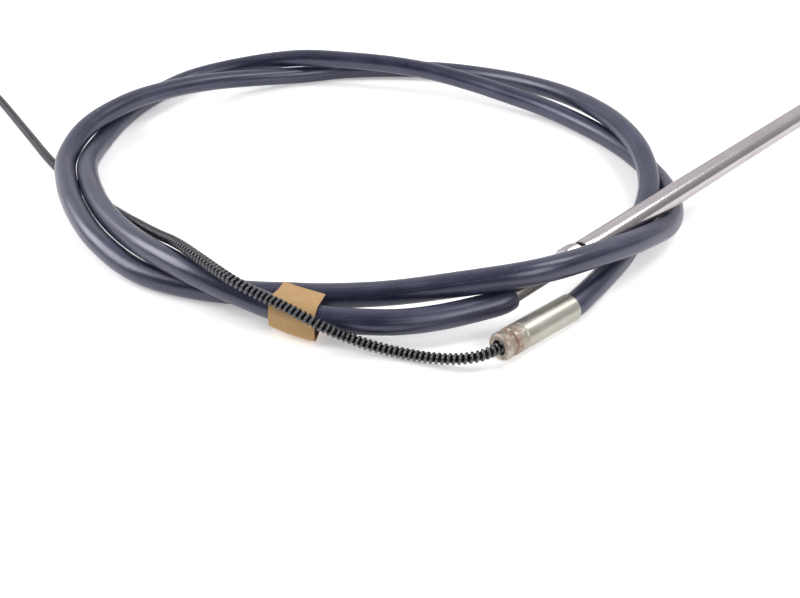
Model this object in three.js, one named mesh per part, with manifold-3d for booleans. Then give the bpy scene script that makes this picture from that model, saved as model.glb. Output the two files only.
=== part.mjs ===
// Rotary steering cable for a small outboard boat, lying in two loose turns on a level floor.
// Millimetres, +Z up. The origin is the middle of the bounding box, on the floor.
import * as THREE from 'three';
import { mergeVertices } from 'three/addons/utils/BufferGeometryUtils.js';
import Module from 'manifold-3d';

const wasm = await Module();
wasm.setup();

// Driving dimensions
const CORE_RADIUS = 3.6;
const CORE_SIDES = 6;
const CORE_FREE_STEPS = 64;

const JACKET_RADIUS = 8;
const JACKET_BORE_CLEARANCE = 1.2;
const JACKET_BORE_RADIUS = CORE_RADIUS + JACKET_BORE_CLEARANCE;
const JACKET_SIDES = 12;
const BORE_SIDES = 6;
const COIL_STEPS = 140;

const SLEEVE_LENGTH = 64;
const SLEEVE_NOSE_LENGTH = 13;
const SLEEVE_WALL = 0.55;
const SLEEVE_FIT = 0.4;
const SLEEVE_SOCKET_RADIUS = JACKET_RADIUS + SLEEVE_FIT;
const SLEEVE_RADIUS = SLEEVE_SOCKET_RADIUS + SLEEVE_WALL;
const SLEEVE_MOUTH_CLEARANCE = 1.1;
const SLEEVE_MOUTH_RADIUS = CORE_RADIUS + SLEEVE_MOUTH_CLEARANCE;
const SLEEVE_AXIS_HEIGHT = SLEEVE_RADIUS + 0.05;
const SLEEVE_RING_FROM_MOUTH = 15.8;
const SLEEVE_RING_WIDTH = 2.2;
const SLEEVE_RING_DEPTH = 0.4;
const SLEEVE_GROOVE_FROM_MOUTH = 5.2;
const SLEEVE_GROOVE_WIDTH = 3.8;
const SLEEVE_GROOVE_DEPTH = 1.3;
const SLEEVE_STEP = 0.3;
const SLEEVE_EDGE = 0.8;
const SLEEVE_MOUTH_EDGE = 1.4;

const STROKE = 229;
const RAM_RADIUS = 7.95;
const RAM_WALL_SHARE = 0.25;
const RAM_WALL = RAM_RADIUS * RAM_WALL_SHARE;
const RAM_BORE_RADIUS = RAM_RADIUS - RAM_WALL;
const RAM_END_WALL = 4;
const MOUTH_FROM_JACKET = 68.5;

const GUIDE_CLEARANCE = 0.5;
const GUIDE_RADIUS = RAM_BORE_RADIUS - GUIDE_CLEARANCE;
const GUIDE_WALL = 1.15;
const GUIDE_BORE_RADIUS = GUIDE_RADIUS - GUIDE_WALL;
const GUIDE_OVERLAP = 24.5;
const GUIDE_LENGTH = MOUTH_FROM_JACKET + STROKE + GUIDE_OVERLAP;
const GUIDE_END_ROOM = 26.5;
const RAM_TUBE_LENGTH = STROKE + GUIDE_OVERLAP + GUIDE_END_ROOM + RAM_END_WALL;

const EYE_TAPER_LENGTH = 16;
const EYE_FLAT_LENGTH = 27;
const EYE_HALF_WIDTH = 10.6;
const EYE_HALF_THICKNESS = 4.75;
const EYE_HOLE_RADIUS = 4.8;

const WIPER_LENGTH = 5;
const WIPER_CLEARANCE = 0.35;
const WIPER_INNER_RADIUS = GUIDE_RADIUS + WIPER_CLEARANCE;
const WIPER_SEAT_WALL = 0.85;
const WIPER_SEAT_RADIUS = RAM_RADIUS - WIPER_SEAT_WALL;
const WIPER_OUTER_RADIUS = WIPER_SEAT_RADIUS - WIPER_CLEARANCE;
const WIPER_INSET = 0.6;
const WIPER_SEAT_DEPTH = WIPER_INSET + WIPER_LENGTH + 0.4;

const COLLAR_ACROSS_FLATS = 17;
const COLLAR_LENGTH = 14;
const COLLAR_CLEARANCE = 0.35;
const COLLAR_BORE_RADIUS = GUIDE_RADIUS + COLLAR_CLEARANCE;
const COLLAR_TO_MOUTH = 3.5;
const COLLAR_FROM_JACKET = MOUTH_FROM_JACKET - COLLAR_TO_MOUTH - COLLAR_LENGTH;

const END_GAP = 0.3;

const TIP_LENGTH = 18;
const TIP_WALL = 0.6;
const TIP_CLEARANCE = 0.5;
const TIP_SOCKET_RADIUS = CORE_RADIUS + TIP_CLEARANCE;
const TIP_RADIUS = TIP_SOCKET_RADIUS + TIP_WALL;
const TIP_SOCKET_DEPTH = 10;
const TIP_END_GAP = 0.5;

const TAPE_WIDTH = 30;
const TAPE_THICKNESS = 0.5;
const TAPE_SLACK = 1.6;
const TAPE_INNER_RADIUS = JACKET_RADIUS + TAPE_SLACK;
const TAPE_HALF_SPACING = 12.4;

// Route of the jacket about the middle of the coil, as turn angle in degrees
// (clockwise seen from above), radius and height of the centreline.
// The engine end comes first. Heights are 8 where the jacket lies on the floor
// and about 25 where one strand lies over another.
const COIL_STATIONS = [
  // engine end, at the front right
  [70, 224.6, 15.9], [77, 225.0, 14.9],
  // under the tape, then up and over the other strand at the front left
  [84, 224.1, 14.3], [96, 217.5, 13.6], [102, 213.6, 14.6], [108, 210.7, 18.0],
  [114, 209.3, 22.0], [120, 208.0, 24.6],
  [132, 204.0, 23.5], [144, 202.3, 20.0], [156, 204.7, 17.6], [168, 210.9, 16.2],
  // round the left and along the back, low under the second turn
  [180, 221.1, 12.4], [192, 229.9, 8.1], [204, 240.8, 8.0], [216, 253.6, 8.4],
  [228, 263.5, 10.2], [240, 250.1, 16.2], [252, 224.2, 24.4], [264, 204.2, 25.8],
  [276, 197.1, 24.1], [288, 193.3, 21.4], [300, 191.1, 17.9], [312, 192.2, 14.8],
  // down the right side on the floor
  [324, 199.7, 11.7], [336, 209.2, 8.9], [348, 219.6, 8.0], [360, 230.0, 8.0],
  [372, 239.5, 9.8], [384, 243.6, 13.8],
  // back to the front, arching over the guide tube
  [396, 238.1, 24.0], [408, 232.6, 31.6], [420, 229.5, 35.2], [432, 213.7, 28.8],
  [444, 198.8, 18.4], [456, 193.4, 13.1], [462, 194.2, 12.3], [468, 195.9, 10.6],
  [480, 202.6, 8.0],
  // second turn, outside the first at the left
  [492, 212.7, 8.9], [504, 217.7, 13.3], [516, 221.0, 15.4], [528, 227.5, 16.2],
  [540, 237.1, 17.0], [552, 239.0, 21.9], [564, 231.5, 25.2], [576, 227.4, 22.3],
  // along the back on the floor, over the first turn at the right
  [588, 224.6, 17.4], [600, 221.5, 12.1], [612, 221.6, 8.1], [624, 225.4, 8.0],
  [636, 228.4, 8.3], [648, 230.8, 9.4], [660, 228.8, 11.8], [672, 225.0, 15.7],
  [684, 221.6, 19.8], [696, 219.1, 23.2], [708, 219.2, 24.9], [720, 221.9, 22.9],
  // under the ram tube and the first turn, to the helm end
  [732, 224.0, 16.8], [744, 222.9, 11.0], [756, 226.9, 8.7], [765, 231.6, 8.8],
  [772, 238.0, 9.0],
];

// Straight pieces at both ends
const RAM_START = new THREE.Vector3(97.7, -201.6, 18.2);
const RAM_DIRECTION = new THREE.Vector3(256.5, 227.5, 23.8).normalize();
const SLEEVE_REAR = new THREE.Vector3(136.2, -199.2, SLEEVE_AXIS_HEIGHT);
const SLEEVE_DIRECTION = new THREE.Vector3(-0.757, -0.654, 0).normalize();

// Route of the bare core from the sleeve's mouth, over the taped strands and the inner
// strand, down inside the coil, under both turns at the left and away from the coil.
const CORE_STATIONS = [
  // out of the mouth and down to the floor
  [82.4, -244.9, 8.7], [74.8, -247.9, 7.9], [63.5, -248.3, 6.4], [47.6, -245.2, 4.9],
  [30.0, -239.4, 4.2], [12.2, -235.8, 7.0],
  // up over the taped strands, and resting on the inner strand
  [-2.6, -233.0, 11.5], [-12.6, -232.6, 16.5], [-22.0, -230.8, 21.0],
  [-31.5, -227.4, 24.6], [-41.1, -223.0, 27.4], [-50.8, -218.7, 30.0],
  [-58.8, -215.8, 32.8], [-64.6, -213.3, 34.8], [-70.6, -210.0, 36.4],
  [-76.8, -204.8, 37.2], [-83.3, -198.3, 37.5], [-89.7, -191.4, 37.5],
  [-96.3, -184.1, 37.2], [-103.7, -175.2, 36.4], [-111.4, -165.1, 34.4],
  [-119.9, -153.1, 30.7], [-128.7, -141.0, 26.4], [-140.2, -125.2, 21.2],
  // down inside the coil to the floor, and out under both turns
  [-153.4, -106.7, 15.6], [-169.3, -85.3, 9.5], [-190.5, -60.0, 5.2],
  [-208.4, -41.2, 3.8], [-252.4, 11.3, 3.7], [-298.0, 77.3, 3.7],
  [-351.3, 155.0, 3.9], [-396.0, 216.0, 4.9],
];

// A route through points that are kept as they are, one point for each step of a sweep
class Route extends THREE.Curve {
  constructor(points, startTangent = null) {
    super();
    this.points = points;
    this.startTangent = startTangent;
  }

  getPoint(t, target = new THREE.Vector3()) {
    const place = THREE.MathUtils.clamp(t, 0, 1) * (this.points.length - 1);
    const index = Math.min(Math.floor(place + 1e-9), this.points.length - 2);
    return target.lerpVectors(this.points[index], this.points[index + 1], place - index);
  }

  getPointAt(u, target) {
    return this.getPoint(u, target);
  }

  getTangentAt(u, target = new THREE.Vector3()) {
    const place = Math.round(u * (this.points.length - 1));
    if (place === 0 && this.startTangent) return target.copy(this.startTangent);
    const before = this.points[Math.max(place - 1, 0)];
    const after = this.points[Math.min(place + 1, this.points.length - 1)];
    return target.subVectors(after, before).normalize();
  }
}

function polar([turn, radius, height]) {
  const angle = -THREE.MathUtils.degToRad(turn);
  return new THREE.Vector3(radius * Math.cos(angle), radius * Math.sin(angle), height);
}

function along(start, direction, distance) {
  return start.clone().addScaledVector(direction, distance);
}

function polygon(radius, sides) {
  return Array.from({ length: sides }, (_, i) => {
    const angle = (i / sides) * 2 * Math.PI;
    return new THREE.Vector2(radius * Math.cos(angle), radius * Math.sin(angle));
  });
}

function sweep(points, radius, sides, boreRadius = 0, boreSides = 0, startTangent = null) {
  const shape = new THREE.Shape(polygon(radius, sides));
  if (boreRadius > 0) shape.holes.push(new THREE.Path(polygon(boreRadius, boreSides)));
  return new THREE.ExtrudeGeometry(shape, {
    steps: points.length - 1,
    extrudePath: new Route(points, startTangent),
    bevelEnabled: false,
  });
}

// A turned piece: profile of [radius, distance along the axis], closed on itself
function turned(profile, segments) {
  const points = profile.map(([radius, distance]) => new THREE.Vector2(radius, distance));
  points.push(points[0].clone());
  return new THREE.LatheGeometry(points, segments);
}

function solid(geometry) {
  const plain = geometry.clone();
  plain.deleteAttribute('normal');
  plain.deleteAttribute('uv');
  const merged = mergeVertices(plain, 1e-4);
  return new wasm.Manifold(new wasm.Mesh({
    numProp: 3,
    vertProperties: new Float32Array(merged.attributes.position.array),
    triVerts: new Uint32Array(merged.index.array),
  }));
}

function geometryOf(manifold) {
  const mesh = manifold.getMesh();
  const geometry = new THREE.BufferGeometry();
  geometry.setAttribute('position', new THREE.BufferAttribute(mesh.vertProperties, 3));
  geometry.setIndex(new THREE.BufferAttribute(mesh.triVerts, 1));
  geometry.computeVertexNormals();
  return geometry;
}

const group = new THREE.Group();

const blueGrey = new THREE.MeshStandardMaterial({ color: 0x4a4d63, roughness: 0.45, metalness: 0 });
const blackSteel = new THREE.MeshStandardMaterial({ color: 0x1c1c1e, roughness: 0.4, metalness: 0.8 });
const stainless = new THREE.MeshStandardMaterial({ color: 0xc4bcc0, roughness: 0.28, metalness: 1 });
const nickel = new THREE.MeshStandardMaterial({ color: 0xb6b2a4, roughness: 0.32, metalness: 1 });
const blackRubber = new THREE.MeshStandardMaterial({ color: 0x17171a, roughness: 0.7, metalness: 0 });
const kraft = new THREE.MeshStandardMaterial({ color: 0xc6a670, roughness: 0.8, metalness: 0 });

function piece(name, geometry, material) {
  const mesh = new THREE.Mesh(geometry, material);
  mesh.name = name;
  group.add(mesh);
  return mesh;
}

// Centreline of the jacket: a short straight into the ram's line, the coil, a straight in the sleeve
const coil = new THREE.CatmullRomCurve3([
  RAM_START,
  along(RAM_START, RAM_DIRECTION, -6),
  ...COIL_STATIONS.map(polar),
  along(SLEEVE_REAR, SLEEVE_DIRECTION, -4),
  SLEEVE_REAR,
], false, 'centripetal');
coil.arcLengthDivisions = 4000;
const coilPoints = coil.getSpacedPoints(COIL_STEPS);
const socketDepth = SLEEVE_LENGTH - SLEEVE_NOSE_LENGTH - 0.5;
const sleevePoints = [0.5, 1].map((share) => along(SLEEVE_REAR, SLEEVE_DIRECTION, share * socketDepth));
const jacketPoints = [...coilPoints, ...sleevePoints];
const jacketStart = RAM_DIRECTION.clone().negate();
piece(
  'jacket',
  sweep(jacketPoints, JACKET_RADIUS, JACKET_SIDES, JACKET_BORE_RADIUS, BORE_SIDES, jacketStart),
  blueGrey,
);

// The core runs from the end of the guide tube through the whole jacket and out of the sleeve
const sleeveMouth = along(SLEEVE_REAR, SLEEVE_DIRECTION, SLEEVE_LENGTH);
const coreFree = new THREE.CatmullRomCurve3([
  sleeveMouth,
  ...CORE_STATIONS.map(([x, y, z]) => new THREE.Vector3(x, y, z)),
], false, 'centripetal');
const guidePoints = [GUIDE_LENGTH, GUIDE_LENGTH / 2].map((distance) => along(RAM_START, RAM_DIRECTION, distance));
const corePoints = [
  ...guidePoints,
  ...jacketPoints,
  ...coreFree.getSpacedPoints(CORE_FREE_STEPS),
];
piece('core_cable', sweep(corePoints, CORE_RADIUS, CORE_SIDES), blackSteel);

const tipEnd = corePoints[corePoints.length - 1];
const tipDirection = tipEnd.clone().sub(corePoints[corePoints.length - 2]).normalize();

// Puts a piece modelled along +Y at a start point, pointing along a direction
function placeAlong(mesh, start, direction, rollAxis = new THREE.Vector3(0, 0, 1)) {
  const y = direction.clone().normalize();
  const x = new THREE.Vector3().crossVectors(y, rollAxis).normalize();
  const z = new THREE.Vector3().crossVectors(x, y);
  mesh.quaternion.setFromRotationMatrix(new THREE.Matrix4().makeBasis(x, y, z));
  mesh.position.copy(start);
}

// Ferrule on the free end of the core, a cup over its last centimetre
const tip = piece('core_tip', turned([
  [TIP_SOCKET_RADIUS, 0],
  [TIP_RADIUS, 0],
  [TIP_RADIUS, TIP_LENGTH - 3],
  [TIP_RADIUS - 2, TIP_LENGTH],
  [0, TIP_LENGTH],
  [0, TIP_SOCKET_DEPTH],
  [TIP_SOCKET_RADIUS, TIP_SOCKET_DEPTH],
], 20), nickel);
placeAlong(tip, along(tipEnd, tipDirection, TIP_END_GAP - TIP_SOCKET_DEPTH), tipDirection);

// Helm end sleeve: a socket crimped over the jacket, a narrow ring and a grooved nose
const noseStart = SLEEVE_LENGTH - SLEEVE_NOSE_LENGTH;
const ringEnd = SLEEVE_LENGTH - SLEEVE_RING_FROM_MOUTH;
const grooveEnd = SLEEVE_LENGTH - SLEEVE_GROOVE_FROM_MOUTH;
const sleeve = piece('helm_sleeve', turned([
  [SLEEVE_SOCKET_RADIUS, 0],
  [SLEEVE_RADIUS - SLEEVE_EDGE / 4, 0],
  [SLEEVE_RADIUS, SLEEVE_EDGE],
  [SLEEVE_RADIUS, ringEnd - SLEEVE_RING_WIDTH],
  [SLEEVE_RADIUS - SLEEVE_RING_DEPTH, ringEnd - SLEEVE_RING_WIDTH * 0.73],
  [SLEEVE_RADIUS - SLEEVE_RING_DEPTH, ringEnd - SLEEVE_RING_WIDTH * 0.27],
  [SLEEVE_RADIUS, ringEnd],
  [SLEEVE_RADIUS, grooveEnd - SLEEVE_GROOVE_WIDTH],
  [SLEEVE_RADIUS - SLEEVE_GROOVE_DEPTH, grooveEnd - SLEEVE_GROOVE_WIDTH * 0.79],
  [SLEEVE_RADIUS - SLEEVE_GROOVE_DEPTH, grooveEnd - SLEEVE_GROOVE_WIDTH * 0.21],
  [SLEEVE_RADIUS - SLEEVE_STEP, grooveEnd],
  [SLEEVE_RADIUS - SLEEVE_STEP, SLEEVE_LENGTH - SLEEVE_MOUTH_EDGE],
  [SLEEVE_RADIUS - SLEEVE_MOUTH_EDGE, SLEEVE_LENGTH],
  [SLEEVE_MOUTH_RADIUS + SLEEVE_EDGE / 2, SLEEVE_LENGTH],
  [SLEEVE_MOUTH_RADIUS, SLEEVE_LENGTH - SLEEVE_EDGE / 2],
  [SLEEVE_MOUTH_RADIUS, noseStart],
  [SLEEVE_SOCKET_RADIUS, noseStart],
], 28), nickel);
placeAlong(sleeve, SLEEVE_REAR, SLEEVE_DIRECTION);

// Engine end guide tube, butted to the jacket, with the ram tube running on it
const guide = piece('guide_tube', turned([
  [GUIDE_BORE_RADIUS, 0],
  [GUIDE_RADIUS, 0],
  [GUIDE_RADIUS, GUIDE_LENGTH],
  [GUIDE_BORE_RADIUS, GUIDE_LENGTH],
], 24), stainless);
placeAlong(guide, along(RAM_START, RAM_DIRECTION, END_GAP), RAM_DIRECTION);

// Six-sided collar on the guide tube, one corner up
const collarShape = new THREE.Shape(
  polygon(COLLAR_ACROSS_FLATS / Math.sqrt(3), 6).map((point) => point.rotateAround(new THREE.Vector2(), Math.PI / 6)),
);
collarShape.holes.push(new THREE.Path(polygon(COLLAR_BORE_RADIUS, 24)));
const collarGeometry = new THREE.ExtrudeGeometry(collarShape, { depth: COLLAR_LENGTH, bevelEnabled: false });
collarGeometry.rotateX(-Math.PI / 2);
const collar = piece('hex_collar', collarGeometry, stainless);
placeAlong(collar, along(RAM_START, RAM_DIRECTION, COLLAR_FROM_JACKET), RAM_DIRECTION);

// Ram tube: a round tube pressed flat at its far end, with the link-arm bolt hole.
// Each ring is a circle blended into a rectangle with cut corners.
function ramRing(distance, flatness, widthShare, sides) {
  return Array.from({ length: sides }, (_, i) => {
    const angle = (i / sides) * 2 * Math.PI;
    const round = new THREE.Vector2(RAM_RADIUS * Math.cos(angle), RAM_RADIUS * Math.sin(angle));
    const flat = new THREE.Vector2(
      EYE_HALF_WIDTH * THREE.MathUtils.clamp(1.12 * Math.cos(angle), -1, 1),
      EYE_HALF_THICKNESS * THREE.MathUtils.clamp(1.45 * Math.sin(angle), -1, 1),
    );
    const blend = round.lerp(flat, flatness);
    return new THREE.Vector3(blend.x * widthShare, distance, blend.y);
  });
}

function loft(rings) {
  const sides = rings[0].length;
  const positions = rings.flat().flatMap((point) => point.toArray());
  const first = rings[0].reduce((sum, point) => sum.add(point), new THREE.Vector3()).divideScalar(sides);
  const last = rings.at(-1).reduce((sum, point) => sum.add(point), new THREE.Vector3()).divideScalar(sides);
  positions.push(...first.toArray(), ...last.toArray());
  const firstIndex = rings.length * sides;
  const lastIndex = firstIndex + 1;
  const indices = [];
  for (let side = 0; side < sides; side += 1) {
    const next = (side + 1) % sides;
    for (let ring = 0; ring < rings.length - 1; ring += 1) {
      const a = ring * sides + side;
      const b = ring * sides + next;
      const c = (ring + 1) * sides + side;
      const d = (ring + 1) * sides + next;
      indices.push(a, c, b, b, c, d);
    }
    indices.push(firstIndex, side, next);
    const end = (rings.length - 1) * sides;
    indices.push(lastIndex, end + next, end + side);
  }
  const geometry = new THREE.BufferGeometry();
  geometry.setAttribute('position', new THREE.BufferAttribute(new Float32Array(positions), 3));
  geometry.setIndex(indices);
  return geometry;
}

const RAM_SIDES = 28;
const flatStart = RAM_TUBE_LENGTH + EYE_TAPER_LENGTH;
const eyeCentre = flatStart + EYE_FLAT_LENGTH - EYE_HALF_WIDTH;
const ramRings = [
  ramRing(0, 0, 1, RAM_SIDES),
  ramRing(RAM_TUBE_LENGTH, 0, 1, RAM_SIDES),
  ...[0.15, 0.5, 0.85, 1].map((share, i) => (
    ramRing(RAM_TUBE_LENGTH + ((i + 1) * EYE_TAPER_LENGTH) / 4, share, 1, RAM_SIDES))),
  ...[0, 20, 40, 58, 74].map((degrees) => {
    const angle = THREE.MathUtils.degToRad(degrees);
    return ramRing(eyeCentre + EYE_HALF_WIDTH * Math.sin(angle), 1, Math.cos(angle), RAM_SIDES);
  }),
];
const CUT_PAST = 5;
const boreDepth = RAM_TUBE_LENGTH - RAM_END_WALL;
const ramBore = new THREE.CylinderGeometry(RAM_BORE_RADIUS, RAM_BORE_RADIUS, boreDepth + CUT_PAST, 24);
ramBore.translate(0, (boreDepth - CUT_PAST) / 2, 0);
const ramSeat = new THREE.CylinderGeometry(WIPER_SEAT_RADIUS, WIPER_SEAT_RADIUS, WIPER_SEAT_DEPTH + CUT_PAST, 28);
ramSeat.translate(0, (WIPER_SEAT_DEPTH - CUT_PAST) / 2, 0);
const boltHole = new THREE.CylinderGeometry(EYE_HOLE_RADIUS, EYE_HOLE_RADIUS, 30, 24);
boltHole.rotateX(Math.PI / 2);
boltHole.translate(0, eyeCentre, 0);
const ramSolid = solid(loft(ramRings)).subtract(solid(ramBore)).subtract(solid(ramSeat)).subtract(solid(boltHole));
const ramStart = along(RAM_START, RAM_DIRECTION, MOUTH_FROM_JACKET);
const ram = piece('ram_tube', geometryOf(ramSolid), stainless);
placeAlong(ram, ramStart, RAM_DIRECTION);

// Wiper ring in the mouth of the ram tube
const wiper = piece('wiper_seal', turned([
  [WIPER_INNER_RADIUS, 0],
  [WIPER_OUTER_RADIUS, 0],
  [WIPER_OUTER_RADIUS, WIPER_LENGTH],
  [WIPER_INNER_RADIUS, WIPER_LENGTH],
], 28), blackRubber);
placeAlong(wiper, along(ramStart, RAM_DIRECTION, WIPER_INSET), RAM_DIRECTION);

// Paper tape band round the two front strands
function racetrack(radius, halfSpacing, steps) {
  const points = [];
  for (let i = 0; i <= steps; i += 1) {
    const angle = -Math.PI / 2 + (i / steps) * Math.PI;
    points.push(new THREE.Vector2(halfSpacing + radius * Math.cos(angle), radius * Math.sin(angle)));
  }
  for (let i = 0; i <= steps; i += 1) {
    const angle = Math.PI / 2 + (i / steps) * Math.PI;
    points.push(new THREE.Vector2(-halfSpacing + radius * Math.cos(angle), radius * Math.sin(angle)));
  }
  return points;
}

const tapeShape = new THREE.Shape(racetrack(TAPE_INNER_RADIUS + TAPE_THICKNESS, TAPE_HALF_SPACING, 10));
tapeShape.holes.push(new THREE.Path(racetrack(TAPE_INNER_RADIUS, TAPE_HALF_SPACING, 10)));
const tapeGeometry = new THREE.ExtrudeGeometry(tapeShape, { depth: TAPE_WIDTH, bevelEnabled: false });
tapeGeometry.translate(0, 0, -TAPE_WIDTH / 2);
tapeGeometry.rotateX(-Math.PI / 2);
const tape = piece('tape_band', tapeGeometry, kraft);
const TAPE_CENTRE = new THREE.Vector3(-28.3, -202.1, 13.7);
const TAPE_DIRECTION = new THREE.Vector3(0.968, -0.25, 0);
const TAPE_UP = new THREE.Vector3(0.012, 0.046, 1);
placeAlong(tape, TAPE_CENTRE, TAPE_DIRECTION, TAPE_UP);

// The origin goes to the middle of the bounding box, on the floor
group.updateMatrixWorld(true);
const bounds = new THREE.Box3().setFromObject(group, true);
const middle = bounds.getCenter(new THREE.Vector3());
group.position.set(-middle.x, -middle.y, -bounds.min.z);
group.updateMatrixWorld(true);

export default group;
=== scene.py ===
# %% [markdown]
# # A boat steering cable, lying in two loose turns
#
# The cable has a satin plastic jacket as thick as a thumb. A black steel core runs through it
# and comes out of a crimped sleeve at the helm end. At the engine end a bright ram tube slides
# on a guide tube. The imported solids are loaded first, and every dressed piece is laid on them,
# because they hold the true sizes and say which pieces slide.

# %% Load the frame
import math

import bpy
import numpy as np
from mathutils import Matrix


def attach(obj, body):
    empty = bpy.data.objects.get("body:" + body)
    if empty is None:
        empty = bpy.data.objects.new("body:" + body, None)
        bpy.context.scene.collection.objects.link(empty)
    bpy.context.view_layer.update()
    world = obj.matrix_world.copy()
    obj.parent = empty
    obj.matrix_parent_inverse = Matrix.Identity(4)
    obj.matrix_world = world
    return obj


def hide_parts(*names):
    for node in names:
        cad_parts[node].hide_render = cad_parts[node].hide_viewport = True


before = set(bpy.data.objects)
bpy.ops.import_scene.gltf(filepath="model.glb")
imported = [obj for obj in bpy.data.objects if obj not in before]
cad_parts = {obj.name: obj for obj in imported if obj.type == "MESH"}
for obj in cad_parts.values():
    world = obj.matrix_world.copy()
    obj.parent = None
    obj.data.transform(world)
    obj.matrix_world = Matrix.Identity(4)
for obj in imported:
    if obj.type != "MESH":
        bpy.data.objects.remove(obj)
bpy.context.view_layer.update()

print("solids:", sorted(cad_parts))

# %% [markdown]
# ## The camera
#
# The photograph was taken with a normal lens, about two thirds of a metre from the coil and
# looking down on it by a third of a right angle. A lens of 40.5 mm on a 36 mm wide frame puts
# 900 pixels on each unit of slope in a picture 800 pixels wide. No shift is needed.

# %% Camera
PICTURE = (800, 598)
CAMERA_PLACE = (0.0338, -0.6528, 0.3293)
CAMERA_DOWN = 34.2

lens = bpy.data.cameras.new("studio_camera")
lens.sensor_fit = "HORIZONTAL"
lens.sensor_width = 36.0
lens.lens = 40.5
lens.clip_start = 0.01
camera = bpy.data.objects.new("studio_camera", lens)
camera.location = CAMERA_PLACE
camera.rotation_euler = (math.radians(90 - CAMERA_DOWN), 0, 0)
bpy.context.scene.collection.objects.link(camera)
bpy.context.scene.camera = camera
bpy.context.scene.view_settings.view_transform = "Standard"
print("camera at", CAMERA_PLACE, "for a picture of", PICTURE)

# %% [markdown]
# ## The route of the jacket
#
# A stiff cable of this kind springs open when it is put down, so its turns are never quite
# round and never lie flat. The route is a list of stations: the angle turned through, clockwise
# from above, the distance from the middle of the coil, and the height of the centreline in
# millimetres. It rests on the floor at 8, rises to about 25 where it crosses another turn, and
# to 35 where it arches over the guide tube.

# %% Stations of the jacket
MM = 0.001
MIDDLE = np.array([3.810, 8.223, 0.254])

COIL_STATIONS = [
    # engine end, at the front right, under the tape and over the other strand at the left
    [70, 224.6, 15.9], [77, 225.0, 14.9],
    [84, 224.1, 14.3], [96, 217.5, 13.6], [102, 213.6, 14.6], [108, 210.7, 18.0],
    [114, 209.3, 22.0], [120, 208.0, 24.6],
    [132, 204.0, 23.5], [144, 202.3, 20.0], [156, 204.7, 17.6], [168, 210.9, 16.2],
    # round the left and along the back, low under the second turn
    [180, 221.1, 12.4], [192, 229.9, 8.1], [204, 240.8, 8.0], [216, 253.6, 8.4],
    [228, 263.5, 10.2], [240, 250.1, 16.2], [252, 224.2, 24.4], [264, 204.2, 25.8],
    [276, 197.1, 24.1], [288, 193.3, 21.4], [300, 191.1, 17.9], [312, 192.2, 14.8],
    # down the right side on the floor
    [324, 199.7, 11.7], [336, 209.2, 8.9], [348, 219.6, 8.0], [360, 230.0, 8.0],
    [372, 239.5, 9.8], [384, 243.6, 13.8],
    # back to the front, arching over the guide tube
    [396, 238.1, 24.0], [408, 232.6, 31.6], [420, 229.5, 35.2], [432, 213.7, 28.8],
    [444, 198.8, 18.4], [456, 193.4, 13.1], [462, 194.2, 12.3], [468, 195.9, 10.6],
    [480, 202.6, 8.0],
    # second turn, outside the first at the left
    [492, 212.7, 8.9], [504, 217.7, 13.3], [516, 221.0, 15.4], [528, 227.5, 16.2],
    [540, 237.1, 17.0], [552, 239.0, 21.9], [564, 231.5, 25.2], [576, 227.4, 22.3],
    # along the back on the floor, over the first turn at the right
    [588, 224.6, 17.4], [600, 221.5, 12.1], [612, 221.6, 8.1], [624, 225.4, 8.0],
    [636, 228.4, 8.3], [648, 230.8, 9.4], [660, 228.8, 11.8], [672, 225.0, 15.7],
    [684, 221.6, 19.8], [696, 219.1, 23.2], [708, 219.2, 24.9], [720, 221.9, 22.9],
    # under the ram tube and the first turn, to the helm end
    [732, 224.0, 16.8], [744, 222.9, 11.0], [756, 226.9, 8.7], [765, 231.6, 8.8],
    [772, 238.0, 9.0],
]
RAM_START = np.array([97.7, -201.6, 18.2])
RAM_DIRECTION = np.array([256.5, 227.5, 23.8])
RAM_DIRECTION = RAM_DIRECTION / np.linalg.norm(RAM_DIRECTION)
SLEEVE_REAR = np.array([136.2, -199.2, 9.0])
SLEEVE_DIRECTION = np.array([-0.757, -0.654, 0.0])
SLEEVE_DIRECTION = SLEEVE_DIRECTION / np.linalg.norm(SLEEVE_DIRECTION)
SLEEVE_LENGTH = 64.0
SLEEVE_SOCKET = 50.5

# %% [markdown]
# ## One smooth curve through the stations
#
# A centripetal spline passes through every station without loops or overshoot, even where
# stations stand close together. It is worked out here for all spans at once, then measured and
# resampled, so that a distance in metres along it can be asked for directly.

# %% Spline helpers
def through(points, steps=16):
    """Centripetal Catmull-Rom curve through the points. Each span's knot interval is the
    square root of its chord. The slope at a point blends the chords on both sides by their
    intervals, and a cubic joins the points with those slopes."""
    ends = np.vstack([2 * points[0] - points[1], points, 2 * points[-1] - points[-2]])
    gaps = np.sqrt(np.linalg.norm(np.diff(ends, axis=0), axis=1))[:, None]
    chords = np.diff(ends, axis=0)
    wide = (ends[2:] - ends[:-2]) / (gaps[1:] + gaps[:-1])
    slopes = chords[:-1] / gaps[:-1] - wide + chords[1:] / gaps[1:]
    t = (np.arange(steps) / steps)[None, :, None]
    start = ends[1:-2, None, :]
    stop = ends[2:-1, None, :]
    leave = (slopes[:-1] * gaps[1:-1])[:, None, :]
    arrive = (slopes[1:] * gaps[1:-1])[:, None, :]
    cubic = (
        start * (2 * t**3 - 3 * t**2 + 1)
        + leave * (t**3 - 2 * t**2 + t)
        + stop * (3 * t**2 - 2 * t**3)
        + arrive * (t**3 - t**2)
    )
    return np.vstack([cubic.reshape(-1, 3), points[-1:]])


def metres_along(points):
    """Distance along a polyline at each of its points: the running sum of its chords."""
    return np.concatenate([[0], np.cumsum(np.linalg.norm(np.diff(points, axis=0), axis=1))])


def placed(points, distances):
    """Points at the given distances along a polyline, by linear interpolation."""
    run = metres_along(points)
    return np.stack([np.interp(distances, run, points[:, axis]) for axis in range(3)], axis=1)


def to_frame(points):
    """Millimetres about the middle of the coil, turned into metres in the frame."""
    return (np.asarray(points, float) + MIDDLE) * MM


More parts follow.
